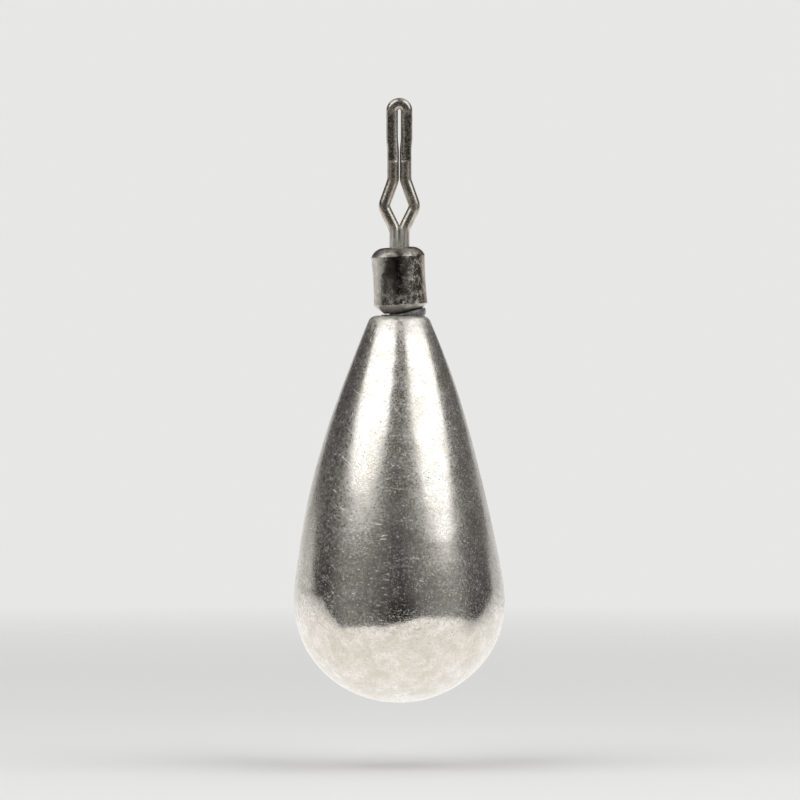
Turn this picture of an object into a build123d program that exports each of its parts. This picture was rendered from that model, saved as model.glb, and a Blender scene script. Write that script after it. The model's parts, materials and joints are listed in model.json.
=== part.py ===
from build123d import *
import os
from math import cos, radians, sin, tan

# Drop-shot fishing sinker of half an ounce, hanging as it does on the line.
# A teardrop weight carries a barrel swivel, and the swivel carries a folded wire
# clip that holds the line. Millimetres and degrees, +Z up. The origin is the
# middle of the line eye, the diamond in the clip, and the clip lies in the XZ plane.

# Wire of the clip and of the anchor
wire_diameter = 0.55
neck_width = 0.935  # over both legs, squeezed together where they pass through the barrel's end

# Line clip: heights above and below the middle of the eye
eye_width = 1.45  # between the wire's middles at the eye's two corners
eye_bend = 0.5
neck_drop = 1.08  # down to where the two legs meet
neck_bend = 0.9
pinch_gap = 0.03  # between the legs where they hold the line
pinch_rise = 1.22
pinch_bend = 0.8
slot_gap = 0.12  # between the legs in the upper part
slot_start = 2.65  # up to where the legs part
slot_rise = 3.1  # up to where the legs run side by side
slot_bend = 3.5
fold_rise = 4.45  # up to where the wire turns over
flat_rise = 2.05  # up to where the front and back of the legs are pressed flat
flat_depth = 0.07
flat_ramp = 0.12

# Swivel barrel: a tube with both ends swaged in over the wires' heads
barrel_drop = 1.88  # from the middle of the eye down to the barrel's top
barrel_length = 3.05
barrel_diameter = 2.5  # over the two rims
barrel_waist = 0.035  # how far the side draws in between the rims
barrel_wall = 0.3
dome_height = 0.42  # rounded upper end
taper_height = 0.4  # conical lower end
taper_end_diameter = 1.6
barrel_lean = 3.3  # the barrel leans in its play, its top to the left
swivel_clearance = 0.06  # between a leaning barrel's end and a wire's neck

# Heads inside the barrel
head_thickness = 0.5
head_bevel = 0.17
head_clearance = 0.1  # to the inside of the tube
head_play = 0.15  # to the tube's end wall

# Weight: a dome, a shoulder and a flank, each an arc tangent to the last
body_length = 18.0
body_diameter = 9.84
dome_flattening = 0.14  # the dome's radius is this much more than the body's
dome_sweep = 44.0
flank_start = 7.4  # slope from upright where the shoulder ends
crown_diameter = 2.66  # of the sharp corner, before it is rounded
crown_fillet = 0.45
crown_gap = 0.13  # between the barrel and the crown

# Anchor: the lower wire, whose loop is glued into the weight's bore
loop_gap = 0.45  # inside the loop
loop_neck = 0.5  # from the crown down to where the legs part
loop_start = 1.3  # down to where the loop's sides run side by side
loop_turn = 2.2  # down to where the loop turns over
loop_bend = 0.4
bore_clearance = 0.075  # filled with glue, each side of the loop
bore_spare = 0.6  # bore left below the loop
drill_point = 118.0

# Glue: a plug in the bore and a bead round the right of the crown
bead_spread = 0.12  # how far the bead spreads past the bore
bead_offset = 0.25
bead_height = 0.38
bead_clearance = 0.05  # to the leaning barrel as it turns
bead_edge = 0.08

# Heights that follow from those sizes
barrel_top = -barrel_drop
barrel_bottom = barrel_top - barrel_length
barrel_middle = (barrel_top + barrel_bottom) / 2
body_top = barrel_bottom - crown_gap
body_bottom = body_top - body_length

# Widths that follow from those sizes
wire_radius = wire_diameter / 2
rim_radius = barrel_diameter / 2
taper_end_radius = taper_end_diameter / 2
neck_x = (neck_width - wire_diameter) / 2
pinch_x = (pinch_gap + wire_diameter) / 2
slot_x = (slot_gap + wire_diameter) / 2
loop_x = (loop_gap + wire_diameter) / 2
lean = radians(barrel_lean)
hole_radius = neck_width / 2 + barrel_length / 2 * tan(lean) + swivel_clearance
head_radius = rim_radius - barrel_waist - barrel_wall - head_clearance
bore_radius = loop_x + wire_radius + bore_clearance
bore_depth = loop_turn + loop_x + wire_radius + bore_spare
drill_tip = bore_radius / tan(radians(drill_point / 2))
crown_wall = crown_diameter / 2 - bore_radius


def headed_wire(corners, bends, head_middle):
    """A wire folded double. Both legs follow the corners from the head to the fold,
    and their ends are upset into one round head."""
    fold_x, fold_z = corners[-1]
    fold_reach = fold_x if fold_z > head_middle else -fold_x
    with BuildPart() as wire:
        with Locations((0, 0, head_middle)):
            Cylinder(head_radius, head_thickness)
        chamfer(wire.edges().filter_by(GeomType.CIRCLE), head_bevel)
        with BuildLine(Plane.XZ) as leg:
            run = FilletPolyline(*corners, radius=bends)
            TangentArc(run @ 1, (0, fold_z + fold_reach), tangent=run % 1)
        with BuildSketch(Plane(origin=run @ 0, z_dir=run % 0)):
            Circle(wire_radius)
        half = sweep(path=leg.line)
        mirror(half, about=Plane.YZ)
    return wire.part


# Weight, turned about its axis, with a drilled bore in the crown
with BuildPart() as sinker_body:
    with BuildSketch(Plane.XZ) as body_profile:
        with BuildLine():
            dome_radius = body_diameter / 2 + dome_flattening
            flattened = dome_flattening * sin(radians(dome_sweep)) / (1 - sin(radians(dome_sweep)))
            dome = JernArc((0, body_bottom), (1, 0), dome_radius, dome_sweep)
            shoulder = JernArc(
                dome @ 1,
                dome % 1,
                body_diameter / 2 - flattened,
                90 - dome_sweep + flank_start,
            )
            flank = TangentArc(shoulder @ 1, (crown_diameter / 2, body_top), tangent=shoulder % 1)
            Polyline(flank @ 1, (0, body_top), (0, body_bottom))
        make_face()
        crown_corner = body_profile.vertices().group_by(Axis.Y)[-1].sort_by(Axis.X)[-1]
        fillet(crown_corner, min(crown_fillet, crown_wall))
    revolve(axis=Axis.Z)
    with Locations((0, 0, body_top)):
        Hole(bore_radius, depth=bore_depth)
    with Locations((0, 0, body_top - bore_depth)):
        Cone(
            bore_radius,
            0,
            drill_tip,
            rotation=(180, 0, 0),
            align=(Align.CENTER, Align.CENTER, Align.MIN),
            mode=Mode.SUBTRACT,
        )

# Swivel barrel, turned about its own leaning axis: a closed outline, hollowed to one wall
# thickness and opened at both ends for the wires
barrel_frame = Plane(
    origin=(0, 0, barrel_middle), x_dir=(cos(lean), 0, sin(lean)), z_dir=(0, -1, 0)
)
with BuildPart() as swivel_barrel:
    with BuildSketch(barrel_frame) as barrel_wall_profile:
        with BuildLine():
            half_length = barrel_length / 2
            dome_start = half_length - dome_height
            taper_start = taper_height - half_length
            foot = Polyline(
                (0, -half_length), (taper_end_radius, -half_length), (rim_radius, taper_start)
            )
            side = ThreePointArc(
                foot @ 1,
                (rim_radius - barrel_waist, (dome_start + taper_start) / 2),
                (rim_radius, dome_start),
            )
            swage = TangentArc((hole_radius, half_length), side @ 1, tangent=(1, 0))
            Polyline(swage @ 0, (0, half_length), (0, -half_length))
        make_face()
        offset(amount=-barrel_wall, mode=Mode.SUBTRACT)
        Rectangle(2 * hole_radius, barrel_length, mode=Mode.SUBTRACT)
    revolve(axis=Axis(barrel_frame.origin, barrel_frame.y_dir))

# Line clip: from its head up through the barrel, out round the eye, in to the pinch and
# over the fold
clip_head = barrel_top - barrel_wall - head_play - head_thickness / 2
clip_wire = headed_wire(
    [
        (neck_x, clip_head),
        (neck_x, -neck_drop),
        (eye_width / 2, 0),
        (pinch_x, pinch_rise),
        (pinch_x, slot_start),
        (slot_x, slot_rise),
        (slot_x, fold_rise),
    ],
    [neck_bend, eye_bend, pinch_bend, slot_bend, slot_bend],
    clip_head,
)
with BuildPart() as line_clip:
    add(clip_wire)
    with BuildSketch(Plane.YZ) as pressed_flat:
        with BuildLine():
            flat_face = wire_radius - flat_depth
            clear_of_wire = wire_radius + flat_depth
            clear_of_fold = fold_rise + slot_x + wire_diameter
            Polyline(
                (clear_of_wire, flat_rise),
                (flat_face, flat_rise + flat_ramp),
                (flat_face, clear_of_fold),
                (clear_of_wire, clear_of_fold),
                close=True,
            )
        make_face()
        mirror(about=Plane.YZ)
    extrude(amount=eye_width, both=True, mode=Mode.SUBTRACT)

# Anchor: from its head down through the barrel and round the loop in the bore
anchor_head = barrel_bottom + barrel_wall + head_play + head_thickness / 2
anchor_wire = headed_wire(
    [
        (neck_x, anchor_head),
        (neck_x, body_top - loop_neck),
        (loop_x, body_top - loop_start),
        (loop_x, body_top - loop_turn),
    ],
    [loop_bend, loop_bend],
    anchor_head,
)
with BuildPart() as anchor_eye:
    add(anchor_wire)

# Glue: it fills the bore round the loop, and its bead keeps clear of the space that the
# leaning barrel sweeps as it turns
end_reach = barrel_length / 2
rim_reach = barrel_length / 2 - taper_height
end_width = taper_end_radius * cos(lean)
end_dip = taper_end_radius * sin(lean)
end_middle = barrel_middle - end_reach * cos(lean)
low_end = (end_width - end_reach * sin(lean), end_middle - end_dip)
high_end = (end_width + end_reach * sin(lean), end_middle + end_dip)
low_rim = (
    rim_radius * cos(lean) - rim_reach * sin(lean),
    barrel_middle - rim_reach * cos(lean) - rim_radius * sin(lean),
)
with BuildPart() as epoxy_plug:
    with Locations((0, 0, body_top)):
        Cylinder(bore_radius, bore_depth, align=(Align.CENTER, Align.CENTER, Align.MAX))
    with Locations((0, 0, body_top - bore_depth)):
        Cone(
            bore_radius,
            0,
            drill_tip,
            rotation=(180, 0, 0),
            align=(Align.CENTER, Align.CENTER, Align.MIN),
        )
    with BuildSketch(Plane.XY.offset(body_top - crown_fillet)) as bead_outline:
        with Locations((bead_offset, 0)):
            Circle(bore_radius + bead_spread)
    extrude(amount=crown_fillet + bead_height)
    fillet(epoxy_plug.faces().sort_by(Axis.Z)[-1].edges(), bead_edge)
    with BuildSketch(Plane.XZ) as barrel_sweep:
        with BuildLine():
            Polyline(
                (0, low_end[1]),
                low_end,
                high_end,
                low_rim,
                (low_rim[0], barrel_middle),
                (0, barrel_middle),
                close=True,
            )
        make_face()
        offset(amount=bead_clearance)
    revolve(axis=Axis.Z, mode=Mode.SUBTRACT)
    add(sinker_body.part, mode=Mode.SUBTRACT)
    add(anchor_eye.part, mode=Mode.SUBTRACT)

os.makedirs("parts", exist_ok=True)
for piece, name in (
    (sinker_body, "sinker_body"),
    (epoxy_plug, "epoxy_plug"),
    (anchor_eye, "anchor_eye"),
    (swivel_barrel, "swivel_barrel"),
    (line_clip, "line_clip"),
):
    piece.part.label = name
    export_step(piece.part, f"parts/{name}.step")
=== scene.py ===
import json
from math import atan2, ceil, cos, hypot, pi, radians, sin, sqrt, tan

import bmesh
import bpy
from mathutils import Matrix, Vector, noise


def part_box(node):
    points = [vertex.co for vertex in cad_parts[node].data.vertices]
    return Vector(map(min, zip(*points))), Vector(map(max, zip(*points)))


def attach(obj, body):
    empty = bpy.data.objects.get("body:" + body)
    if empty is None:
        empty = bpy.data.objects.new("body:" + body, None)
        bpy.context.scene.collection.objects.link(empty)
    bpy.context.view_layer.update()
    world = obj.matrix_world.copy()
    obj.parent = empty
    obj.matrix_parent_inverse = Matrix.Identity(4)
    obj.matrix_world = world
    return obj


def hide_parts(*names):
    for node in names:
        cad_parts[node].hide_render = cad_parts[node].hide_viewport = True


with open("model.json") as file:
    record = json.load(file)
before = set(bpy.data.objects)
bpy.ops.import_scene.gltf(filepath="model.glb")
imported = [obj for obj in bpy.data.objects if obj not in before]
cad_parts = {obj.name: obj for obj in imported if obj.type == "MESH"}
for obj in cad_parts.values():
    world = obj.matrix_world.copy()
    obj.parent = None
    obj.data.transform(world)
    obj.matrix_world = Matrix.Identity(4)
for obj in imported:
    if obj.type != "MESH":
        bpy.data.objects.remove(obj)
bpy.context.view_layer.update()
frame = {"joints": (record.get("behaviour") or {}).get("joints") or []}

# Looks of the drop-shot sinker, in metres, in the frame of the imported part.
# Each solid is replaced by a finer mesh of the same size: the tumbled weight, the swaged
# barrel, the two headed wires and the glue.

mm = 0.001
weld_reach = 0.0005 * mm
sharp_angle = radians(38)

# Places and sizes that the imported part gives
body_low, body_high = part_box("sinker_body")
body_bottom = body_low.z
body_top = body_high.z
body_radius = (body_high.x - body_low.x) / 2
body_widest = body_bottom + body_radius
swivel_heights = [joint["pos_m"][2] for joint in frame["joints"]]
barrel_top = max(swivel_heights)
barrel_bottom = min(swivel_heights)
barrel_middle = (barrel_top + barrel_bottom) / 2
half_barrel = (barrel_top - barrel_bottom) / 2
clip_low, clip_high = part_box("line_clip")
anchor_low, anchor_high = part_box("anchor_eye")
head_radius = clip_high.y

# Wire of the clip and of the anchor
wire_radius = 0.275 * mm
wire_sides = 40
wire_step = 0.035 * mm
bend_facet = radians(5)
neck_x = 0.1925 * mm
head_thickness = 0.5 * mm
head_round = 0.15 * mm
head_sides = 64
head_step = 0.06 * mm

# Line clip
eye_x = 0.725 * mm
neck_drop = 1.08 * mm
pinch_x = 0.29 * mm
pinch_rise = 1.22 * mm
slot_x = 0.335 * mm
slot_start = 2.65 * mm
slot_rise = 3.1 * mm
fold_rise = clip_high.z - slot_x - wire_radius
clip_bends = [0.9 * mm, 0.5 * mm, 0.8 * mm, 3.5 * mm, 3.5 * mm]
flat_rise = 2.05 * mm
flat_ramp = 0.12 * mm
flat_depth = 0.07 * mm
flat_soften = 0.022 * mm
fold_roundness = 0.75
fold_ramp = 4 * flat_ramp

# Anchor
loop_x = 0.5 * mm
loop_neck = 0.5 * mm
loop_start = 1.3 * mm
loop_bend = 0.4 * mm

# Swivel barrel
rim_radius = 1.25 * mm
barrel_waist = 0.035 * mm
barrel_wall = 0.3 * mm
barrel_lean = radians(3.3)
dome_height = 0.42 * mm
dome_start = half_barrel - dome_height
taper_height = 0.4 * mm
taper_start = taper_height - half_barrel
taper_end_radius = 0.8 * mm
hole_radius = 0.615 * mm
rim_round = 0.03 * mm
waist_bend_share = 0.96  # of the bend that would use up the whole side
swage_bend_share = 0.97  # of the bend that would use up the whole dome
barrel_sides = 160
barrel_step = 0.05 * mm
barrel_dent_depth = 0.005 * mm
barrel_dent_size = 0.55 * mm

# Weight
dome_flattening = 0.14 * mm
dome_sweep = radians(44)
flank_start = radians(7.4)
crown_radius = 1.33 * mm
crown_fillet = 0.45 * mm
fillet_reach = 0.95 * crown_fillet  # as far out as glue lies on the rounding
bore_radius = 0.85 * mm
bore_depth = 3.575 * mm
bore_reach = bore_radius * 1.01  # points within it are the bore's own
drill_tip = bore_radius / tan(radians(59))
weight_sides = 224
weight_step = 0.11 * mm
body_sway = 0.055 * mm
body_sway_length = 13.0 * mm
body_sway_start = 0.47 * mm
sway_fade = 5 * mm  # below the crown
dent_depth = 0.012 * mm
dent_size = 2.6 * mm
dent_fade = 2 * mm  # below the crown
fine_dent_ratio = 2.7
fine_dent_share = 0.4

# Glue
bead_sides = 144
bead_offset = 0.25 * mm
bead_radius = 0.97 * mm
bead_ridge = 0.09 * mm
bead_clearance = 0.05 * mm
bead_undercut = 0.05 * mm
bead_lumps = 0.03  # of the bead's radius
lump_rate = 3.1
fine_lump_rate = 9.0
fine_lump_share = 0.5
crest_rate = 5.0
crest_gap = 1.2  # in clearances, from the bead's crest to the barrel
crest_waver = 0.3
film_height = 0.025 * mm
film_radius = 0.55 * mm

# Colours of the weight
tungsten_bright = (0.84, 0.815, 0.78, 1)
tungsten_stained = (0.65, 0.61, 0.545, 1)
belly_bright = (0.92, 0.895, 0.86, 1)
belly_blotch = (0.50, 0.465, 0.43, 1)
belly_grit = (0.36, 0.335, 0.31, 1)
crown_smudge = (0.46, 0.44, 0.41, 1)
bottom_grime = (0.645, 0.61, 0.55, 1)
# Painted shade in small pits
tungsten_pit_shade = (0.22, 0.20, 0.18, 1)

# Colours of the barrel
plate_dark = (0.10, 0.09, 0.078, 1)
plate_tarnished = (0.06, 0.045, 0.031, 1)
plate_browned = (0.24, 0.175, 0.12, 1)
plate_deposit = (0.76, 0.72, 0.665, 1)
# Painted shade in small pits
plate_pit_shade = (0.06, 0.05, 0.04, 1)
# Pale and grey of a reflection, painted in a band on the barrel's left side
reflection_pale = (0.70, 0.675, 0.63, 1)
reflection_grey = (0.44, 0.42, 0.385, 1)
taper_pale = (0.56, 0.54, 0.51, 1)
taper_grey = (0.36, 0.34, 0.31, 1)
swage_dark = (0.11, 0.095, 0.08, 1)
swage_pale = (0.40, 0.375, 0.34, 1)

# Colours of the wires
wire_bright = (0.56, 0.53, 0.48, 1)
wire_browned = (0.38, 0.33, 0.27, 1)
wire_scratch = (0.66, 0.63, 0.58, 1)
flat_dark = (0.10, 0.088, 0.074, 1)
flat_pale = (0.25, 0.23, 0.20, 1)
# Painted highlight: pale streaks along the edges of the slot
slot_edge_highlight = (0.62, 0.59, 0.54, 1)
# Neck ribs: painted shade in the grooves, and the rubbed ridges painted pale as sheen
neck_groove_shade = (0.16, 0.145, 0.125, 1)
neck_rubbed_sheen = (1.0, 0.96, 0.88, 1)
# Pale on the neck, part dust and part painted sheen
neck_dust_and_sheen = (0.84, 0.81, 0.75, 1)

# Colours of the glue
glue_grey = (0.21, 0.203, 0.206, 1)
glue_dark = (0.035, 0.033, 0.031, 1)


def arc_run(middle, radius, start, end, step):
    """Points on an arc of a turned outline. Angles start straight down and rise outwards."""
    count = max(4, ceil(abs(end - start) * radius / step))
    angles = [start + (end - start) * k / count for k in range(count + 1)]
    return [(middle[0] + radius * sin(a), middle[1] - radius * cos(a)) for a in angles]


def straight_run(start, end, step):
    """Points from start up to the one before end, about a step apart."""
    count = max(1, round((end - start).length / step))
    return [start.lerp(end, k / count) for k in range(count)]


def bent_run(corners, bends, step):
    """Points along straight pieces whose inner corners are bent to the given radii."""
    corners = [Vector(corner) for corner in corners]
    run = []
    here = corners[0]
    for before, corner, after, bend in zip(corners, corners[1:], corners[2:], bends):
        entry = (corner - before).normalized()
        leave = (after - corner).normalized()
        turn = atan2(entry.x * leave.y - entry.y * leave.x, entry.dot(leave))
        reach = bend * tan(abs(turn) / 2)
        arc_start = corner - entry * reach
        inward = Vector((-entry.y, entry.x)) * (bend if turn > 0 else -bend)
        middle = arc_start + inward
        run += straight_run(here, arc_start, step)
        count = max(ceil(abs(turn) / bend_facet), round(abs(turn) * bend / step))
        for k in range(count):
            run.append(middle + Matrix.Rotation(turn * k / count, 2) @ -inward)
        here = corner + leave * reach
    return run + straight_run(here, corners[-1], step) + [corners[-1]]


def turned_mesh(outline, sides, closed=False):
    """Turns an outline of (radius, height) points about the Z axis."""
    shape = bmesh.new()
    angles = [2 * pi * k / sides for k in range(sides)]
    rings = []
    for radius, height in outline:
        if radius < 1e-9:
            rings.append([shape.verts.new((0, 0, height))])
        else:
            ring = [(radius * cos(a), radius * sin(a), height) for a in angles]
            rings.append([shape.verts.new(point) for point in ring])
    pairs = list(zip(rings, rings[1:]))
    if closed:
        pairs.append((rings[-1], rings[0]))
    for lower, upper in pairs:
        for k in range(sides):
            corners = [lower[k % len(lower)], lower[(k + 1) % sides % len(lower)]]
            corners += [upper[(k + 1) % sides % len(upper)], upper[k % len(upper)]]
            shape.faces.new(list(dict.fromkeys(corners)))
    bmesh.ops.recalc_face_normals(shape, faces=shape.faces)
    return shape


def pressed(depth, limit):
    """Depth of a point of the wire after pressing, with a softly rounded edge to the flat."""
    over = abs(depth) - limit + flat_soften
    if over <= 0:
        return depth
    kept = limit - flat_soften + flat_soften * over / (over + flat_soften)
    return kept if depth > 0 else -kept


def wire_mesh(path, half_thickness):
    """A round wire along a path of (x, z) points, pressed to a half thickness front and back."""
    shape = bmesh.new()
    rings = []
    last = len(path) - 1
    for index, point in enumerate(path):
        along = (path[min(index + 1, last)] - path[max(index - 1, 0)]).normalized()
        limit = half_thickness(point.y)
        ring = []
        for k in range(wire_sides):
            angle = 2 * pi * k / wire_sides
            across = wire_radius * cos(angle)
            front = pressed(wire_radius * sin(angle), limit)
            corner = (point.x + along.y * across, front, point.y - along.x * across)
            ring.append(shape.verts.new(corner))
        rings.append(ring)
    for lower, upper in zip(rings, rings[1:]):
        for k in range(wire_sides):
            after = (k + 1) % wire_sides
            shape.faces.new((lower[k], lower[after], upper[after], upper[k]))
    shape.faces.new(rings[0])
    shape.faces.new(rings[-1])
    bmesh.ops.recalc_face_normals(shape, faces=shape.faces)
    return shape


def piece_from(shape, name):
    """A named object from a mesh under construction."""
    mesh = bpy.data.meshes.new(name)
    shape.to_mesh(mesh)
    shape.free()
    piece = bpy.data.objects.new(name, mesh)
    bpy.context.scene.collection.objects.link(piece)
    return piece


def welded(piece):
    """Joins points that meet and drops the slivers between them."""
    shape = bmesh.new()
    shape.from_mesh(piece.data)
    bmesh.ops.remove_doubles(shape, verts=shape.verts, dist=weld_reach)
    bmesh.ops.dissolve_degenerate(shape, edges=shape.edges, dist=weld_reach)
    shape.to_mesh(piece.data)
    shape.free()
    return piece


def fused(piece, other):
    """Joins two overlapping closed meshes into one skin."""
    union = piece.modifiers.new("fuse", "BOOLEAN")
    union.operation = "UNION"
    union.solver = "EXACT"
    union.use_self = True
    union.object = other
    depsgraph = bpy.context.evaluated_depsgraph_get()
    mesh = bpy.data.meshes.new_from_object(piece.evaluated_get(depsgraph))
    piece.modifiers.clear()
    piece.data = mesh
    mesh.name = piece.name
    bpy.data.objects.remove(other)
    return welded(piece)


def smooth_step(value):
    """A value from 0 to 1, eased in and out."""
    value = min(1.0, max(0.0, value))
    return value * value * (3 - 2 * value)


def weight_arcs():
    """The arcs of the weight's outline, each tangent to the last: dome, shoulder, flank and
    crown. Each is its middle, radius, first and last angle."""
    dome_radius = body_radius + dome_flattening
    dome_middle = Vector((0, body_bottom + dome_radius))
    flattened = dome_flattening * sin(dome_sweep) / (1 - sin(dome_sweep))
    shoulder_radius = body_radius - flattened
    outward = Vector((sin(dome_sweep), -cos(dome_sweep)))
    shoulder_middle = dome_middle + outward * (dome_radius - shoulder_radius)
    shoulder_end = pi / 2 + flank_start
    flank_out = Vector((sin(shoulder_end), -cos(shoulder_end)))
    flank_foot = shoulder_middle + flank_out * shoulder_radius
    chord = Vector((crown_radius, body_top)) - flank_foot
    flank_turn = 2 * (atan2(-chord.x, chord.y) - flank_start)
    flank_radius = chord.length / (2 * sin(flank_turn / 2))
    flank_middle = flank_foot - flank_out * flank_radius
    crown_rise = body_top - crown_fillet - flank_middle.y
    crown_reach = sqrt((flank_radius - crown_fillet) ** 2 - crown_rise ** 2)
    crown_middle = flank_middle + Vector((crown_reach, crown_rise))
    crown_start = pi / 2 + atan2(crown_rise, crown_reach)
    return [
        (dome_middle, dome_radius, 0, dome_sweep),
        (shoulder_middle, shoulder_radius, dome_sweep, shoulder_end),
        (flank_middle, flank_radius, shoulder_end, crown_start),
        (crown_middle, crown_fillet, crown_start, pi),
    ]


def crown_height(radius):
    """Height of the weight's crown at a radius."""
    middle = weight_arcs()[-1][0]
    past = min(max(0.0, radius - middle.x), fillet_reach)
    return middle.y + sqrt(crown_fillet ** 2 - past ** 2)


def sway_wave(height):
    """How far the weight sways to the right at a height, from -1 to 1."""
    return sin(2 * pi * (height - body_bottom - body_sway_start) / body_sway_length)


def tumbled_weight():
    """The weight: its turned outline with the bore in its crown, and the slight sway and dents
    that tumbling leaves."""
    bore_floor = body_top - bore_depth - drill_tip
    outline = []
    for middle, radius, start, end in weight_arcs():
        outline += arc_run(middle, radius, start, end, min(weight_step, radius / 10))[:-1]
    outline[0] = (0, body_bottom)
    outline += [
        (weight_arcs()[-1][0].x, body_top),
        (bore_radius, body_top),
        (bore_radius, body_top - bore_depth),
        (0, bore_floor),
    ]
    shape = turned_mesh(outline, weight_sides)
    shape.normal_update()
    kept = sway_wave(body_widest)
    for vert in shape.verts:
        height = vert.co.z
        in_bore = hypot(vert.co.x, vert.co.y) < bore_reach
        if in_bore and height > bore_floor - weight_step:
            continue
        fine_dents = noise.noise(vert.co * fine_dent_ratio / dent_size)
        dents = noise.noise(vert.co / dent_size) + fine_dent_share * fine_dents
        below = body_top - height
        vert.co += vert.normal * (dent_depth * dents * smooth_step(below / dent_fade))
        vert.co.x += body_sway * (sway_wave(height) - kept) * smooth_step(below / sway_fade)
    return piece_from(shape, "weight_body")


def swaged_barrel():
    """The barrel: a hollow tube with a waisted side, a domed upper and a conical lower end,
    turned about its leaning axis."""
    dome_reach = rim_radius - hole_radius
    swage_radius = (dome_reach ** 2 + dome_height ** 2) / (2 * dome_height)
    swage_turn = atan2(dome_reach, swage_radius - dome_height)
    swage_corner = (hole_radius + swage_radius * tan(swage_turn / 2), half_barrel)
    inner_radius = rim_radius - barrel_waist - barrel_wall
    middle = (dome_start + taper_start) / 2
    side_turn = 2 * atan2(2 * barrel_waist, (dome_start - taper_start) / 2)
    half_side = hypot(2 * barrel_waist, dome_start - middle)
    side_bend = waist_bend_share * half_side / tan(side_turn / 2)
    corners = [
        (hole_radius, 0),
        (hole_radius, -half_barrel),
        (taper_end_radius, -half_barrel),
        (rim_radius, taper_start),
        (rim_radius - 2 * barrel_waist, middle),
        (rim_radius, dome_start),
        swage_corner,
        (hole_radius, half_barrel),
        (hole_radius, half_barrel - barrel_wall),
        (inner_radius, dome_start - barrel_wall / 2),
        (inner_radius, taper_start + barrel_wall / 2),
        (hole_radius, barrel_wall - half_barrel),
    ]
    bends = [rim_round] * (len(corners) - 2)
    bends[3] = side_bend
    bends[5] = swage_bend_share * swage_radius
    outline = bent_run(corners, bends, barrel_step)
    shape = turned_mesh(outline[1:], barrel_sides, closed=True)
    shape.normal_update()
    for vert in shape.verts:
        vert.co += vert.normal * (barrel_dent_depth * noise.noise(vert.co / barrel_dent_size))
    lean = Matrix.Rotation(-barrel_lean, 4, "Y")
    shape.transform(Matrix.Translation((0, 0, barrel_middle)) @ lean)
    return piece_from(shape, "barrel_tube")


def wire_head(middle, name):
    """The upset head that both legs of a wire end in."""
    half = head_thickness / 2
    corners = [(0, -half), (head_radius, -half), (head_radius, half), (0, half)]
    shape = turned_mesh(bent_run(corners, [head_round] * 2, head_step), head_sides)
    shape.transform(Matrix.Translation((0, 0, middle)))
    return piece_from(shape, name)


def folded_wire(name, corners, bends, head_middle, half_thickness):
    """A wire folded double: up one leg, over the fold and down the other, with one head."""
    leg = bent_run(corners, bends, wire_step)
    fold_x, fold_z = corners[-1]
    over = 1 if fold_z > head_middle else -1
    count = ceil(pi * fold_x / wire_step)
    turns = [pi * k / count for k in range(1, count)]
    fold = [Vector((fold_x * cos(a), fold_z + over * fold_x * sin(a))) for a in turns]
    back = [Vector((-point.x, point.y)) for point in reversed(leg)]
    wire = piece_from(wire_mesh(leg + fold + back, half_thickness), name)
    return fused(wire, wire_head(head_middle, name + "_head"))


def clip_half_thickness(height):
    """The clip is pressed flat front and back above the pinch, and less so over the fold."""
    start = smooth_step((height - flat_rise) / flat_ramp)
    end = fold_roundness * smooth_step((height - fold_rise) / fold_ramp + 0.5)
    return wire_radius - flat_depth * start * (1 - end)


def anchor_half_thickness(height):
    """The anchor is round all along."""
    return wire_radius


def bent_clip():
    """The line clip: neck, diamond eye, pinch, slot and fold."""
    head_middle = clip_low.z + head_thickness / 2
    corners = [
        (neck_x, head_middle),
        (neck_x, -neck_drop),
        (eye_x, 0),
        (pinch_x, pinch_rise),
        (pinch_x, slot_start),
        (slot_x, slot_rise),
        (slot_x, fold_rise),
    ]
    return folded_wire("clip_wire", corners, clip_bends, head_middle, clip_half_thickness)


def bent_anchor():
    """The anchor: a head in the barrel and a loop in the weight's bore."""
    head_middle = anchor_high.z - head_thickness / 2
    loop_turn = anchor_low.z + wire_radius + loop_x
    corners = [
        (neck_x, head_middle),
        (neck_x, body_top - loop_neck),
        (loop_x, body_top - loop_start),
        (loop_x, loop_turn),
    ]
    bends = [loop_bend] * 2
    return folded_wire("anchor_wire", corners, bends, head_middle, anchor_half_thickness)


def barrel_sweep_height(radius):
    """How high the leaning barrel's lower end is above the crown, at its lowest, as it turns."""
    end_height = barrel_middle - half_barrel * cos(barrel_lean) - body_top
    rim_height = end_height + taper_height * cos(barrel_lean)
    shift = half_barrel * sin(barrel_lean)
    low_end = (taper_end_radius - shift, end_height - taper_end_radius * sin(barrel_lean))
    high_end = (taper_end_radius + shift, end_height + taper_end_radius * sin(barrel_lean))
    low_rim = (rim_radius - shift, rim_height - rim_radius * sin(barrel_lean))
    if radius < low_end[0]:
        return low_end[1]
    before, after = (low_end, high_end) if radius < high_end[0] else (high_end, low_rim)
    slope = (after[1] - before[1]) / (after[0] - before[0])
    return before[1] + slope * (radius - before[0])


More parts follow.
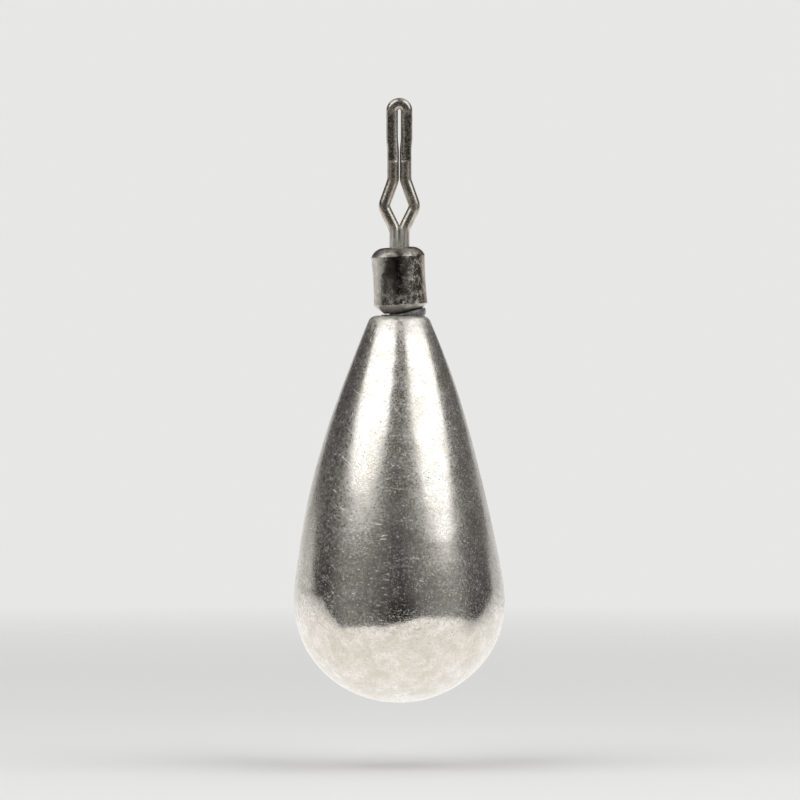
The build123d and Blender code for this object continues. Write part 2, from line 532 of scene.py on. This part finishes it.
def bead_section(side):
    """The glue's outline on one side, from the bottom of the bore to the film under the barrel,
    as (radius, height) points. The bead rises where it spreads past the bore."""
    lumps = noise.noise(side * lump_rate) + fine_lump_share * noise.noise(side * fine_lump_rate)
    spread = bead_radius * (1 + bead_lumps * lumps)
    edge = bead_offset * side.x + sqrt(spread ** 2 - (bead_offset * side.y) ** 2)
    edge = max(bore_radius, edge)
    ridge = edge - bead_ridge
    foot = edge - min(bead_undercut, (edge - bore_radius) / 3)
    ground = crown_height(foot)
    sunk = crown_height(bore_radius) - film_height
    gap = bead_clearance * (crest_gap + crest_waver * noise.noise(side * crest_rate))
    crest = body_top + max(film_height, barrel_sweep_height(ridge) - gap)
    film = body_top + film_height
    return [
        (bore_radius, body_top - bore_depth),
        (bore_radius, sunk),
        (foot, ground - film_height),
        (foot, ground + 0.12 * (crest - ground)),
        (edge, ground + 0.3 * (crest - ground)),
        (edge, ground + 0.6 * (crest - ground)),
        (edge - 0.2 * bead_ridge, ground + 0.85 * (crest - ground)),
        (edge - 0.5 * bead_ridge, ground + 0.96 * (crest - ground)),
        (ridge, crest),
        (ridge - 0.5 * bead_ridge, film + 0.72 * (crest - film)),
        (ridge - 1.3 * bead_ridge, film + 0.35 * (crest - film)),
        (film_radius, film),
    ]


def glue_bead():
    """The glue: a plug in the bore and an uneven bead pressed out to the right of the crown."""
    shape = bmesh.new()
    rings = []
    for k in range(bead_sides):
        angle = 2 * pi * k / bead_sides
        side = Vector((cos(angle), sin(angle), 0))
        section = bead_section(side)
        rings.append([shape.verts.new((side.x * r, side.y * r, z)) for r, z in section])
    tip = shape.verts.new((0, 0, body_top - bore_depth - drill_tip))
    cap = shape.verts.new((0, 0, body_top + film_height))
    for k in range(bead_sides):
        here, after = rings[k], rings[(k + 1) % bead_sides]
        shape.faces.new((tip, after[0], here[0]))
        for row in range(len(here) - 1):
            shape.faces.new((here[row], after[row], after[row + 1], here[row + 1]))
        shape.faces.new((here[-1], after[-1], cap))
    bmesh.ops.recalc_face_normals(shape, faces=shape.faces)
    return welded(piece_from(shape, "glue_bead"))


def set_inputs(tree, node, inputs):
    """Sets a node's inputs to values, or links them to sockets."""
    for name, value in inputs.items():
        if isinstance(value, bpy.types.NodeSocket):
            tree.links.new(value, node.inputs[name])
        else:
            node.inputs[name].default_value = value


def place(tree, kind, inputs=None, **settings):
    """A shader node with its settings, and its inputs set to values or linked to sockets."""
    node = tree.nodes.new("ShaderNode" + kind)
    for name, value in settings.items():
        setattr(node, name, value)
    set_inputs(tree, node, inputs or {})
    return node


def math(tree, operation, first, second=0.0):
    """The result of a math node."""
    return place(tree, "Math", {0: first, 1: second}, operation=operation).outputs[0]


def times(tree, first, second):
    """Two values multiplied."""
    return math(tree, "MULTIPLY", first, second)


def most(tree, first, second):
    """The larger of two values."""
    return math(tree, "MAXIMUM", first, second)


def remap(tree, value, low, high, new_low=0.0, new_high=1.0):
    """A value taken from one span to another, held at both ends."""
    spans = {"From Min": low, "From Max": high, "To Min": new_low, "To Max": new_high}
    return place(tree, "MapRange", {"Value": value, **spans}).outputs["Result"]


def mixed(tree, share, first, second):
    """Two colours mixed by a share."""
    return place(tree, "MixRGB", {"Fac": share, "Color1": first, "Color2": second}).outputs[0]


def painted(tree, colour, layers):
    """A colour with layers of other colours over it, each with its share."""
    for share, layer in layers:
        colour = mixed(tree, share, colour, layer)
    return colour


def raised(tree, height, depth, under=None):
    """A normal from a height map whose full height is a depth in metres."""
    inputs = {"Height": height, "Strength": 1.0, "Distance": depth}
    if under is not None:
        inputs["Normal"] = under
    return place(tree, "Bump", inputs).outputs["Normal"]


def piece_place(tree):
    """A place on the piece, and its X, Y and Z."""
    spot = place(tree, "TexCoord").outputs["Object"]
    return spot, place(tree, "SeparateXYZ", {"Vector": spot}).outputs


def surface_points(tree, size):
    """Places on the piece, counted in units of a size in millimetres."""
    spot = place(tree, "TexCoord").outputs["Object"]
    per_metre = math(tree, "DIVIDE", 1 / mm, size)
    scaled = place(tree, "VectorMath", {0: spot, "Scale": per_metre}, operation="SCALE")
    return scaled.outputs["Vector"]


def effect(name, takes, gives):
    """A new shader node group with number sockets, and its inner input and output sockets."""
    group = bpy.data.node_groups.new(name, "ShaderNodeTree")
    for socket, value in takes.items():
        made = group.interface.new_socket(socket, in_out="INPUT", socket_type="NodeSocketFloat")
        made.default_value = value
    for socket in gives:
        group.interface.new_socket(socket, in_out="OUTPUT", socket_type="NodeSocketFloat")
    taken = group.nodes.new("NodeGroupInput").outputs
    given = group.nodes.new("NodeGroupOutput").inputs
    return group, taken, given


def tumbled_grain_effect():
    """Fine dimples, and fine matt specks that crowd in faint clouds, left by tumbling."""
    takes = {"Size": 0.1, "Share": 0.4, "Clouding": 0.4}
    group, taken, given = effect("tumbled_grain", takes, ["Height", "Matt"])
    points = surface_points(group, taken["Size"])

    def waves(scale, detail):
        texture = place(group, "TexNoise", {"Vector": points, "Scale": scale, "Detail": detail})
        return math(group, "SUBTRACT", texture.outputs["Fac"], 0.5)

    dimples = waves(1.0, 2.0)
    swells = times(group, waves(0.2, 2.0), 2.0)
    specks = waves(4.0, 1.0)
    grit = times(group, waves(1.1, 2.0), 0.7)
    clouds = times(group, waves(0.12, 2.0), taken["Clouding"])
    crowd = math(group, "ADD", math(group, "ADD", specks, grit), clouds)
    least = remap(group, taken["Share"], 0.0, 1.0, 0.27, -0.27)
    matt = remap(group, math(group, "SUBTRACT", crowd, least), -0.08, 0.08)
    group.links.new(math(group, "ADD", dimples, swells), given["Height"])
    group.links.new(matt, given["Matt"])
    return group


def hair_scratch_effect():
    """Short straight hairlines in three directions."""
    group, taken, given = effect("hair_scratches", {"Size": 0.05, "Share": 0.5}, ["Lines"])
    points = surface_points(group, taken["Size"])
    least = remap(group, taken["Share"], 0.0, 1.0, 0.82, 0.62)
    lines = None
    for number, tilt in enumerate(((0.1, 1.45, 0.0), (1.5, 0.1, 0.0), (0.9, 0.6, 0.3))):
        turned = place(
            group,
            "Mapping",
            {"Vector": points, "Rotation": tilt, "Location": (7.0 * number, 3.0, 0.0)},
        )
        drawn = place(
            group,
            "VectorMath",
            {0: turned.outputs["Vector"], 1: (1.0, 1.0, 0.045)},
            operation="MULTIPLY",
        ).outputs["Vector"]
        streak = place(group, "TexNoise", {"Vector": drawn, "Scale": 1.0, "Detail": 0.0})
        line = remap(group, math(group, "SUBTRACT", streak.outputs["Fac"], least), 0.0, 0.05)
        lines = line if lines is None else most(group, lines, line)
    group.links.new(lines, given["Lines"])
    return group


def pit_effect():
    """Scattered small pits, where their shade is painted dark."""
    group, taken, given = effect("pits", {"Spacing": 0.6, "Share": 0.5}, ["Pits"])
    points = surface_points(group, taken["Spacing"])
    cells = place(group, "TexVoronoi", {"Vector": points, "Scale": 1.0, "Randomness": 1.0})
    pick = place(group, "SeparateColor", {"Color": cells.outputs["Color"]})
    size = remap(group, pick.outputs["Green"], 0.0, 1.0, 0.02, 0.07)
    near = math(group, "LESS_THAN", cells.outputs["Distance"], size)
    kept = math(group, "LESS_THAN", pick.outputs["Red"], taken["Share"])
    group.links.new(times(group, near, kept), given["Pits"])
    return group


def tarnish_effect():
    """Ragged patches of tarnish, with an edge as soft as asked."""
    takes = {"Size": 0.8, "Share": 0.5, "Softness": 0.1}
    group, taken, given = effect("tarnish", takes, ["Patches"])
    points = surface_points(group, taken["Size"])
    cloud = place(
        group,
        "TexNoise",
        {"Vector": points, "Scale": 1.0, "Detail": 6.0, "Roughness": 0.65, "Distortion": 0.3},
    )
    least = remap(group, taken["Share"], 0.0, 1.0, 0.68, 0.32)
    over = math(group, "SUBTRACT", cloud.outputs["Fac"], least)
    softened = math(group, "DIVIDE", over, taken["Softness"])
    group.links.new(remap(group, softened, -1.0, 1.0), given["Patches"])
    return group


tumbled_grain = tumbled_grain_effect()
hair_scratches = hair_scratch_effect()
pits = pit_effect()
tarnish = tarnish_effect()


def use(tree, group, **values):
    """A placed effect with its own values."""
    node = tree.nodes.new("ShaderNodeGroup")
    node.node_tree = group
    set_inputs(tree, node, values)
    return node.outputs


def finish(name):
    """A new material, with its node tree and its surface shader."""
    material = bpy.data.materials.new(name)
    material.use_nodes = True
    tree = material.node_tree
    return material, tree, tree.nodes["Principled BSDF"]


def tumbled_tungsten():
    """Bright tumbled tungsten alloy, finely dulled, scratched and nicked, with the shade of small
    pits painted as dark specks, a hazy crown, a gritty belly and a grimy bottom."""
    material, tree, shader = finish("tumbled_tungsten")
    grain = use(tree, tumbled_grain, Size=0.10, Share=0.55)
    worn = use(tree, tumbled_grain, Size=0.16, Share=0.27, Clouding=0.3)
    grit = use(tree, tumbled_grain, Size=0.48, Share=0.45, Clouding=0.5)
    scratches = use(tree, hair_scratches, Size=0.045, Share=0.42)
    nicks = use(tree, hair_scratches, Size=0.085, Share=0.2)
    holes = use(tree, pits, Spacing=0.6, Share=0.4)
    stain = use(tree, tarnish, Size=0.8, Share=0.45, Softness=0.14)
    blotch = use(tree, tarnish, Size=0.42, Share=0.5, Softness=0.16)
    smudge = use(tree, tarnish, Size=0.24, Share=0.45, Softness=0.1)
    height = piece_place(tree)[1]["Z"]
    crown = remap(tree, height, body_top - 1.1 * mm, body_top - 0.25 * mm)
    flank = remap(tree, height, body_widest - 0.5 * mm, body_widest + 4 * mm, 0.28, 1.0)
    lower = remap(tree, height, body_widest + 5 * mm, body_widest + 1 * mm)
    off_bottom = remap(tree, height, body_widest - 1.6 * mm, body_widest - 0.4 * mm, 0.3, 1.0)
    belly = times(tree, lower, off_bottom)
    bottom = remap(tree, height, body_widest - 0.5 * mm, body_widest - 1.5 * mm, 0.35, 0.8)
    gritty = times(tree, grit["Matt"], remap(tree, belly, 0.0, 1.0, 0.05, 0.46))
    grime = most(tree, stain["Patches"], times(tree, smudge["Patches"], 0.5))
    colour = mixed(tree, stain["Patches"], tungsten_bright, tungsten_stained)
    colour = painted(tree, colour, [
        (times(tree, belly, 0.6), belly_bright),
        (times(tree, times(tree, belly, blotch["Patches"]), 0.5), belly_blotch),
        (gritty, belly_grit),
        (times(tree, times(tree, crown, smudge["Patches"]), 0.7), crown_smudge),
        (times(tree, bottom, grime), bottom_grime),
        # Dark specks: painted shade of small pits
        (holes["Pits"], tungsten_pit_shade),
    ])
    normal = raised(tree, grain["Height"], 0.002 * mm)
    normal = raised(tree, scratches["Lines"], -0.0014 * mm, normal)
    normal = raised(tree, nicks["Lines"], -0.006 * mm, normal)
    dull = times(tree, most(tree, grain["Matt"], scratches["Lines"]), flank)
    polished = remap(tree, dull, 0.0, 1.0, 0.08, 0.30)
    polished = most(tree, polished, times(tree, worn["Matt"], 0.46))
    haze = times(tree, crown, remap(tree, smudge["Patches"], 0.0, 1.0, 0.3, 0.14))
    set_inputs(tree, shader, {
        "Base Color": colour,
        "Metallic": 1.0,
        "Roughness": math(tree, "ADD", polished, haze),
        "Normal": normal,
    })
    return material


def dark_plated_brass():
    """Dark nickel plate, polished and tarnished in patches under a light deposit, with a rougher
    band of painted reflection on its left side, brown on its right, matt at both ends, and with
    the shade of small pits painted dark."""
    material, tree, shader = finish("dark_plated_brass")
    grain = use(tree, tumbled_grain, Size=0.15, Share=0.45)
    speckle = use(tree, tumbled_grain, Size=0.28, Share=0.55)
    scratches = use(tree, hair_scratches, Size=0.04, Share=0.4)
    holes = use(tree, pits, Spacing=0.25, Share=0.5)
    stain = use(tree, tarnish, Size=0.9, Share=0.45, Softness=0.1)
    crust = use(tree, tarnish, Size=0.26, Share=0.5, Softness=0.16)
    spot, along = piece_place(tree)
    tube_middle = place(tree, "VectorMath", {0: spot, 1: (0, 0, -barrel_middle)}, operation="ADD")
    tube_axis = (-sin(barrel_lean), 0, cos(barrel_lean))
    tube_height = place(
        tree,
        "VectorMath",
        {0: tube_middle.outputs["Vector"], 1: tube_axis},
        operation="DOT_PRODUCT",
    ).outputs["Value"]
    low_swage = dome_start + 0.1 * dome_height
    high_swage = dome_start + 0.4 * dome_height
    swaged = remap(tree, tube_height, low_swage, high_swage)
    tapered = remap(tree, tube_height, taper_start, taper_start - 0.15 * taper_height)
    # The barrel's left side, with a ragged edge, where a reflection is painted pale; it is made
    # rougher there too
    wide_reflection = 0.72 * rim_radius
    narrow_reflection = 0.5 * rim_radius
    reflection_edge = remap(tree, along["Z"], barrel_bottom, barrel_top, wide_reflection, narrow_reflection)
    fray = 0.07 * rim_radius
    frayed = remap(tree, crust["Patches"], 0.0, 1.0, -fray, fray)
    past_reflection = math(tree, "ADD", math(tree, "ADD", along["X"], reflection_edge), frayed)
    painted_reflection = remap(tree, past_reflection, 0.09 * rim_radius, -0.09 * rim_radius)
    browned = remap(tree, along["X"], 0.6 * rim_radius, 0.8 * rim_radius, 0.0, 0.8)
    to_the_right = remap(tree, along["X"], -0.1 * rim_radius, 0.5 * rim_radius, 0.12, 1.0)
    lower_down = remap(tree, tube_height, 0.3 * half_barrel, -0.6 * half_barrel, 0.0, 0.95)
    speckled = remap(tree, speckle["Matt"], 0.0, 1.0, 0.4, 1.0)
    deposit = times(tree, crust["Patches"], speckled)
    deposit = times(tree, deposit, most(tree, to_the_right, lower_down))
    colour = mixed(tree, stain["Patches"], plate_dark, plate_tarnished)
    colour = painted(tree, colour, [
        (browned, plate_browned),
        (deposit, plate_deposit),
        # Painted reflection: a pale band on the left side
        (painted_reflection, mixed(tree, crust["Patches"], reflection_pale, reflection_grey)),
        (tapered, mixed(tree, crust["Patches"], taper_pale, taper_grey)),
        (swaged, mixed(tree, crust["Patches"], swage_dark, swage_pale)),
        # Dark specks: painted shade of small pits
        (holes["Pits"], plate_pit_shade),
    ])
    normal = raised(tree, grain["Height"], 0.003 * mm)
    normal = raised(tree, scratches["Lines"], -0.002 * mm, normal)
    dull = deposit
    for area, share in ((swaged, 0.5), (painted_reflection, 0.7), (tapered, 0.5), (grain["Matt"], 0.2)):
        dull = most(tree, dull, times(tree, area, share))
    set_inputs(tree, shader, {
        "Base Color": colour,
        "Metallic": 1.0,
        "Roughness": remap(tree, dull, 0.0, 1.0, 0.12, 0.5),
        "Normal": normal,
    })
    return material


def browned_spring_wire():
    """Polished spring wire, slightly browned and scratched. The pressed faces of the clip are dark
    and pebbly, with pale streaks painted as highlights along the slot, and the squeezed neck is
    ribbed, with painted shade in its grooves and painted sheen on its rubbed ridges, and dusty,
    its dust partly a painted sheen."""
    material, tree, shader = finish("browned_spring_wire")
    grain = use(tree, tumbled_grain, Size=0.07, Share=0.4)
    scratches = use(tree, hair_scratches, Size=0.035, Share=0.45)
    stain = use(tree, tarnish, Size=0.4, Share=0.45, Softness=0.14)
    pebbles = use(tree, tarnish, Size=0.11, Share=0.42, Softness=0.08)
    spot, along = piece_place(tree)
    depth = math(tree, "ABSOLUTE", along["Y"])
    flat_face = wire_radius - flat_depth
    above = remap(tree, along["Z"], flat_rise - 0.2 * flat_ramp, flat_rise + 0.4 * flat_ramp)
    below = remap(tree, along["Z"], fold_rise + 2 * flat_ramp, fold_rise - 2 * flat_ramp)
    faces = remap(tree, depth, flat_face - 1.3 * flat_soften, flat_face - 0.7 * flat_soften)
    faces = times(tree, faces, times(tree, above, below))
    squeezed = remap(tree, along["Z"], -neck_drop + 0.35 * mm, -neck_drop - 0.1 * mm)
    drawn = place(tree, "VectorMath", {0: spot, 1: (1.0, 1.0, 0.06)}, operation="MULTIPLY")
    rib_rate = 1 / (0.12 * mm)
    ribs = place(tree, "TexNoise", {"Vector": drawn.outputs["Vector"], "Scale": rib_rate})
    rib = remap(tree, ribs.outputs["Fac"], 0.3, 0.7)
    off_axis = math(tree, "ABSOLUTE", along["X"])
    # Pale streaks by the slot's edges on the pressed faces: a painted highlight
    by_the_slot = remap(tree, off_axis, slot_x, slot_x - 0.7 * wire_radius)
    slot_highlight = times(tree, by_the_slot, remap(tree, rib, 0.25, 0.75))
    pebbled = mixed(tree, pebbles["Patches"], flat_dark, flat_pale)
    # Paler towards the barrel and on the ribs: part dust, part painted sheen
    dust_and_sheen = remap(tree, along["Z"], -neck_drop, barrel_top, 0.0, 0.9)
    dust_and_sheen = times(tree, dust_and_sheen, remap(tree, pebbles["Patches"], 0.0, 1.0, 0.2, 1.0))
    dust_and_sheen = times(tree, dust_and_sheen, remap(tree, rib, 0.2, 0.8, 0.35, 1.0))
    colour = mixed(tree, stain["Patches"], wire_bright, wire_browned)
    colour = painted(tree, colour, [
        (scratches["Lines"], wire_scratch),
        # Pressed faces, with a painted highlight along the slot
        (faces, mixed(tree, slot_highlight, pebbled, slot_edge_highlight)),
        # Neck ribs: painted shade in the grooves, painted sheen on the rubbed ridges
        (times(tree, squeezed, 0.8), mixed(tree, rib, neck_groove_shade, neck_rubbed_sheen)),
        # Part dust, part painted sheen on the neck
        (dust_and_sheen, neck_dust_and_sheen),
    ])
    normal = raised(tree, grain["Height"], 0.0018 * mm)
    normal = raised(tree, times(tree, pebbles["Patches"], faces), 0.005 * mm, normal)
    normal = raised(tree, times(tree, rib, squeezed), 0.02 * mm, normal)
    matt = math(tree, "ADD", times(tree, squeezed, 0.18), times(tree, faces, 0.08))
    dulled = remap(tree, grain["Matt"], 0.0, 1.0, 0.18, 0.46)
    set_inputs(tree, shader, {
        "Base Color": colour,
        "Metallic": remap(tree, dust_and_sheen, 0.0, 1.0, 1.0, 0.25),
        "Roughness": math(tree, "ADD", dulled, matt),
        "Normal": normal,
    })
    return material


def set_glue():
    """Set glue: greyish, uneven and dark in patches."""
    material, tree, shader = finish("set_glue")
    grain = use(tree, tumbled_grain, Size=0.12, Share=0.4)
    stain = use(tree, tarnish, Size=0.14, Share=0.42, Softness=0.1)
    set_inputs(tree, shader, {
        "Base Color": mixed(tree, stain["Patches"], glue_grey, glue_dark),
        "Roughness": remap(tree, grain["Matt"], 0.0, 1.0, 0.15, 0.4),
        "Normal": raised(tree, grain["Height"], 0.012 * mm),
    })
    return material


def dress(piece, material, body, node):
    """Gives a piece its material and smooth shading, and puts it on its body for its solid."""
    piece.data.materials.clear()
    piece.data.materials.append(material)
    for face in piece.data.polygons:
        face.use_smooth = True
    piece.data.set_sharp_from_angle(angle=sharp_angle)
    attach(piece, body)
    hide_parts(node)


spring_wire = browned_spring_wire()
dress(tumbled_weight(), tumbled_tungsten(), "weight", "sinker_body")
dress(glue_bead(), set_glue(), "weight", "epoxy_plug")
dress(bent_anchor(), spring_wire, "weight", "anchor_eye")
dress(swaged_barrel(), dark_plated_brass(), "barrel", "swivel_barrel")
dress(bent_clip(), spring_wire, "clip", "line_clip")

# Stage: the sinker hangs just above a pale floor
view_middle = Vector((0.03, 0, -8.98)) * mm
view_width = 37.2 * mm
view_distance = 400 * mm
view_rise = radians(1.5)
panel_distance = 150 * mm
panel_spread = 1.12
floor_gap = 3 * mm
floor_height = body_bottom - floor_gap
floor_reach = 400 * mm
floor_clear = 40 * mm
floor_end = 150 * mm

# Colours of the stage. Those of the table and the room are only seen in the metal's mirror.
floor_pale = (0.82, 0.82, 0.81, 1)
background = (0.80, 0.80, 0.79, 1)
soft_fill = (0.3, 0.3, 0.3, 1)
table_near = (1.06, 1.04, 1.003, 1)
table_far = (1.13, 1.12, 1.10, 1)
table_shade = (0.0, 0.0, 0.0, 1)
room_dark = (0.018, 0.0175, 0.017, 1)
room_left = (0.24, 0.233, 0.223, 1)
room_right = (0.37, 0.367, 0.36, 1)
room_top = (0.22, 0.215, 0.205, 1)


def direction(azimuth, elevation):
    """From the sinker towards a place round it. Azimuth 0 is the camera's side, 90 the right."""
    a, e = radians(azimuth), radians(elevation)
    return Vector((sin(a) * cos(e), -cos(a) * cos(e), sin(e)))


def pale_floor():
    """A pale floor that fades into the background round the sinker."""
    shape = bmesh.new()
    bmesh.ops.create_grid(shape, x_segments=1, y_segments=1, size=floor_reach)
    floor = piece_from(shape, "floor")
    floor.location.z = floor_height
    material, tree, shader = finish("pale_floor")
    spot = place(tree, "TexCoord").outputs["Object"]
    distance = place(tree, "VectorMath", {0: spot}, operation="LENGTH").outputs["Value"]
    set_inputs(tree, shader, {
        "Base Color": floor_pale,
        "Roughness": 0.9,
        "Specular IOR Level": 0.0,
        "Alpha": remap(tree, distance, floor_clear, floor_end, 1.0, 0.0),
    })
    floor.data.materials.append(material)
    floor.visible_glossy = False


def softbox(name, azimuth, elevation, width, height, radiance):
    """A light panel that faces the sinker and fades towards its edge. Width and height reach to
    where it has faded by half."""
    lamp = bpy.data.lights.new(name, "AREA")
    lamp.shape = "ELLIPSE"
    lamp.size = width * panel_spread
    lamp.size_y = height * panel_spread
    lamp.energy = radiance * pi * lamp.size * lamp.size_y
    lamp.use_nodes = True
    tree = lamp.node_tree
    across = place(tree, "NewGeometry").outputs["Parametric"]
    off_middle = place(tree, "VectorMath", {0: across, 1: (0.5, 0.5, 0.0)}, operation="DISTANCE")
    faded = place(
        tree,
        "MapRange",
        {"Value": off_middle.outputs["Value"], "From Min": 0.5, "From Max": 1 / panel_spread - 0.5},
        interpolation_type="SMOOTHSTEP",
    )
    tree.links.new(faded.outputs["Result"], tree.nodes["Emission"].inputs["Strength"])
    light = bpy.data.objects.new(name, lamp)
    bpy.context.scene.collection.objects.link(light)
    away = direction(azimuth, elevation)
    light.location = view_middle + away * panel_distance
    light.rotation_mode = "QUATERNION"
    light.rotation_quaternion = away.to_track_quat("Z", "Y")
    light.visible_camera = False


def mirrored_edge(tree, spot, towards):
    """How high the mirrored table reaches in a direction. It ends low in front of the sinker and
    reaches a little above the horizon behind it, with a ragged edge."""
    front_edge = remap(tree, towards["X"], -0.15, 0.45, -0.42, -0.26)
    front_end = remap(tree, towards["X"], -0.5, 0.5, -0.32, 0.1)
    back_start = remap(tree, towards["X"], -0.5, 0.5, 0.15, 0.6)
    side_edge = remap(tree, towards["Y"], front_end, back_start, front_edge, 0.12)
    back_edge = remap(tree, towards["Y"], -0.05, 0.5, -0.04, 0.13)
    ragged = place(tree, "TexNoise", {"Vector": spot, "Scale": 3.0, "Detail": 1.0})
    unevenness = remap(tree, ragged.outputs["Fac"], 0.2, 0.8, -0.035, 0.035)
    return math(tree, "ADD", math(tree, "MINIMUM", side_edge, back_edge), unevenness)


def mirrored_table(tree, towards, below_edge):
    """The pale table, brighter behind the sinker and shaded along its edge there."""
    lit = mixed(tree, remap(tree, towards["Y"], 0.1, 0.8), table_near, table_far)
    edge_shade = remap(tree, towards["Y"], -0.35, 0.0, 0.0, 0.55)
    shade = times(tree, edge_shade, remap(tree, below_edge, 0.0, 0.25, 1.0, 0.0))
    return mixed(tree, shade, lit, table_shade)


def mirrored_room(tree, towards):
    """The room beyond the table: dark in front, with paler walls to both sides and a paler top."""
    off_middle = math(tree, "ABSOLUTE", towards["X"])
    walls = mixed(tree, remap(tree, towards["X"], -0.2, 0.6), room_left, room_right)
    beside = remap(tree, off_middle, 0.1, 0.8)
    beside = times(tree, beside, remap(tree, towards["Y"], -0.5, -0.05, 1.0, 0.1))
    aside = remap(tree, off_middle, 0.0, 0.7, 0.35, 1.0)
    behind = remap(tree, towards["X"], -0.5, 0.5, 0.2, 0.5)
    facing = remap(tree, towards["Y"], -0.5, -0.1, 1.0, behind)
    rise = remap(tree, towards["Z"], -0.2, 0.45)
    rise = times(tree, rise, times(tree, aside, facing))
    return mixed(tree, rise, mixed(tree, beside, room_dark, walls), room_top)


def studio_world():
    """Pale to the eye and an even soft fill. In the metal's mirror it is a pale table with a dark
    room beyond."""
    world = bpy.data.worlds.new("studio")
    bpy.context.scene.world = world
    world.use_nodes = True
    tree = world.node_tree
    tree.nodes.clear()
    rays = place(tree, "LightPath").outputs
    spot = place(tree, "TexCoord").outputs["Generated"]
    towards = place(tree, "SeparateXYZ", {"Vector": spot}).outputs
    below_edge = math(tree, "SUBTRACT", mirrored_edge(tree, spot, towards), towards["Z"])
    on_table = remap(tree, below_edge, -0.008, 0.008)
    table = mirrored_table(tree, towards, below_edge)
    mirrored = mixed(tree, on_table, mirrored_room(tree, towards), table)
    seen = mixed(tree, rays["Is Glossy Ray"], soft_fill, mirrored)
    seen = mixed(tree, rays["Is Camera Ray"], seen, background)
    glow = place(tree, "Background", {"Color": seen, "Strength": 1.0})
    place(tree, "OutputWorld", {"Surface": glow.outputs["Background"]})


def photo_camera():
    """A long lens at the photo's angle and framing."""
    lens = bpy.data.cameras.new("photo_camera")
    camera = bpy.data.objects.new("photo_camera", lens)
    bpy.context.scene.collection.objects.link(camera)
    lens.lens = lens.sensor_width * view_distance / view_width
    lens.clip_start = 1 * mm
    lens.clip_end = 5.0
    away = Vector((0, -cos(view_rise), sin(view_rise)))
    camera.location = view_middle + away * view_distance
    camera.rotation_mode = "QUATERNION"
    camera.rotation_quaternion = (-away).to_track_quat("-Z", "Y")
    bpy.context.scene.camera = camera


pale_floor()
softbox("left_panel", azimuth=-55.5, elevation=46, width=177 * mm, height=156 * mm,
        radiance=1.3)
softbox("right_panel", azimuth=61.5, elevation=42, width=178 * mm, height=158 * mm,
        radiance=1.25)
softbox("back_left_panel", azimuth=-135, elevation=58, width=120 * mm, height=120 * mm,
        radiance=0.5)
softbox("back_right_panel", azimuth=130, elevation=58, width=130 * mm, height=130 * mm,
        radiance=0.6)
studio_world()
photo_camera()
bpy.context.scene.view_settings.view_transform = "Standard"
